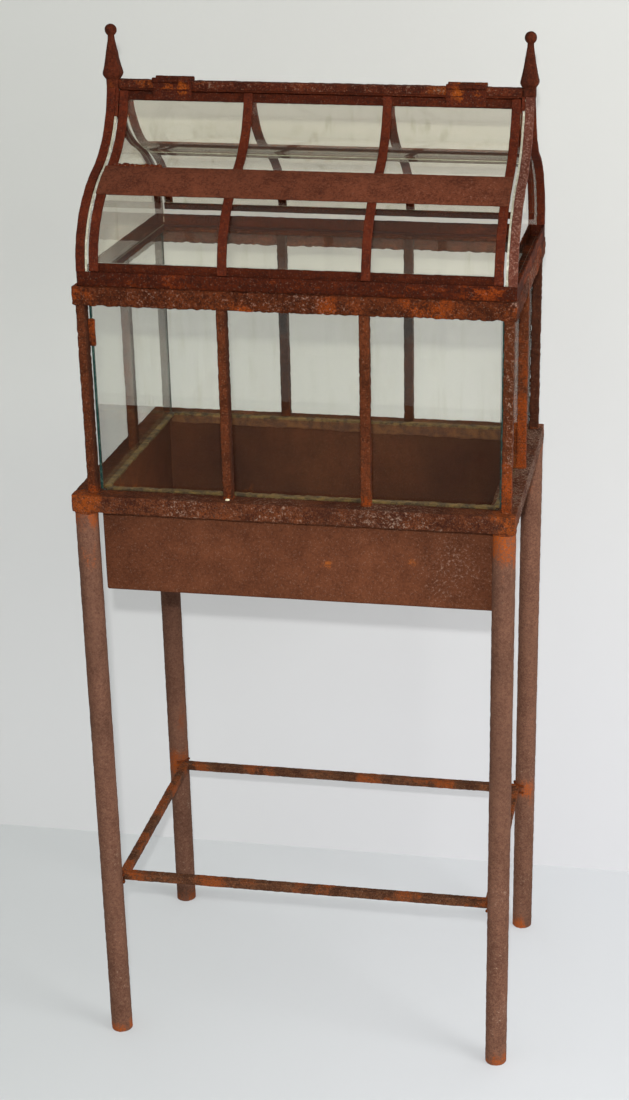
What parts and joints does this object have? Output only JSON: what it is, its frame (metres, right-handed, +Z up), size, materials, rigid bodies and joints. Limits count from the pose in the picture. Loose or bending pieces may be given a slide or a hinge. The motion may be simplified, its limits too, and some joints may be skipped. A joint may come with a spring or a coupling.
{
  "type": "wardian case",
  "caption": "Glazed iron plant case with a hinged ogee roof, a sheet planting pan and a tall open tube stand, for growing ferns and small plants indoors.",
  "frame": {"origin": "on the floor, under the middle of the stand", "axes": "+Z up, the long front faces -Y, +X is the right-hand end"},
  "size_m": [0.61, 0.415, 1.4725],
  "materials": {
    "leg_tube": "rusted, rough, worn paler on the crests",
    "stretcher_bar": "rusted, rough",
    "angle_iron": "rusted, pitted, greyish scale on the faces",
    "upright_bar": "rusted, rough",
    "pan_sheet": "even smooth brown rust",
    "roof_iron": "rusted red-brown, rough",
    "band_iron": "rusted, smooth and matt",
    "finial_iron": "dark brown rust",
    "hinge_iron": "bright orange rust",
    "glass": "old clear glass, lightly dirty, green at the cut edges"
  },
  "bodies": {
    "case": {"leg_front_left": "leg_tube", "corner_post_front_left": "upright_bar", "front_bar_left": "upright_bar", "leg_front_right": "leg_tube", "corner_post_front_right": "upright_bar", "front_bar_right": "upright_bar", "leg_back_left": "leg_tube", "corner_post_back_left": "upright_bar", "back_bar_left": "upright_bar", "leg_back_right": "leg_tube", "corner_post_back_right": "upright_bar", "back_bar_right": "upright_bar", "stretcher_front": "stretcher_bar", "stretcher_back": "stretcher_bar", "stretcher_left": "stretcher_bar", "stretcher_right": "stretcher_bar", "left_end_bar": "upright_bar", "left_end_pane": "glass", "right_end_bar": "upright_bar", "right_end_pane": "glass", "front_pane": "glass", "back_pane": "glass", "base_frame": "angle_iron", "collar_frame": "angle_iron", "planter_pan": "pan_sheet", "glass_clip": "hinge_iron"},
    "roof": {"gable_rib_front_left": "roof_iron", "gable_rib_front_right": "roof_iron", "gable_rib_back_left": "roof_iron", "gable_rib_back_right": "roof_iron", "gable_pane_left": "glass", "finial_left": "finial_iron", "hinge_plate_left": "hinge_iron", "gable_pane_right": "glass", "finial_right": "finial_iron", "hinge_plate_right": "hinge_iron", "roof_base_frame": "roof_iron", "ridge_bar": "roof_iron"},
    "front_panel": {"hinge_leaf_front_left": "hinge_iron", "front_side_rib_left": "roof_iron", "front_middle_rib_left": "roof_iron", "hinge_leaf_front_right": "hinge_iron", "front_side_rib_right": "roof_iron", "front_middle_rib_right": "roof_iron", "front_top_rail": "roof_iron", "front_bottom_rail": "roof_iron", "front_middle_band": "band_iron", "front_upper_pane": "glass", "front_lower_pane": "glass"},
    "back_panel": {"hinge_leaf_back_left": "hinge_iron", "back_side_rib_left": "roof_iron", "back_middle_rib_left": "roof_iron", "hinge_leaf_back_right": "hinge_iron", "back_side_rib_right": "roof_iron", "back_middle_rib_right": "roof_iron", "back_top_rail": "roof_iron", "back_bottom_rail": "roof_iron", "back_middle_band": "band_iron", "back_upper_pane": "glass", "back_lower_pane": "glass"}
  },
  "joints": [
    {"name": "roof_lift", "type": "slide", "parent": "case", "child": "roof", "axis": [0, 0, 1], "range_m": [0, 0.1]},
    {"name": "front_panel_hinge", "type": "hinge", "parent": "roof", "child": "front_panel", "pos_m": [0.0091, -0.01015, 1.4007], "axis": [-1, 0, 0], "range_deg": [0, 130]},
    {"name": "back_panel_hinge", "type": "hinge", "parent": "roof", "child": "back_panel", "pos_m": [0.0091, 0.01015, 1.4007], "axis": [1, 0, 0], "range_deg": [0, 130]}
  ]
}
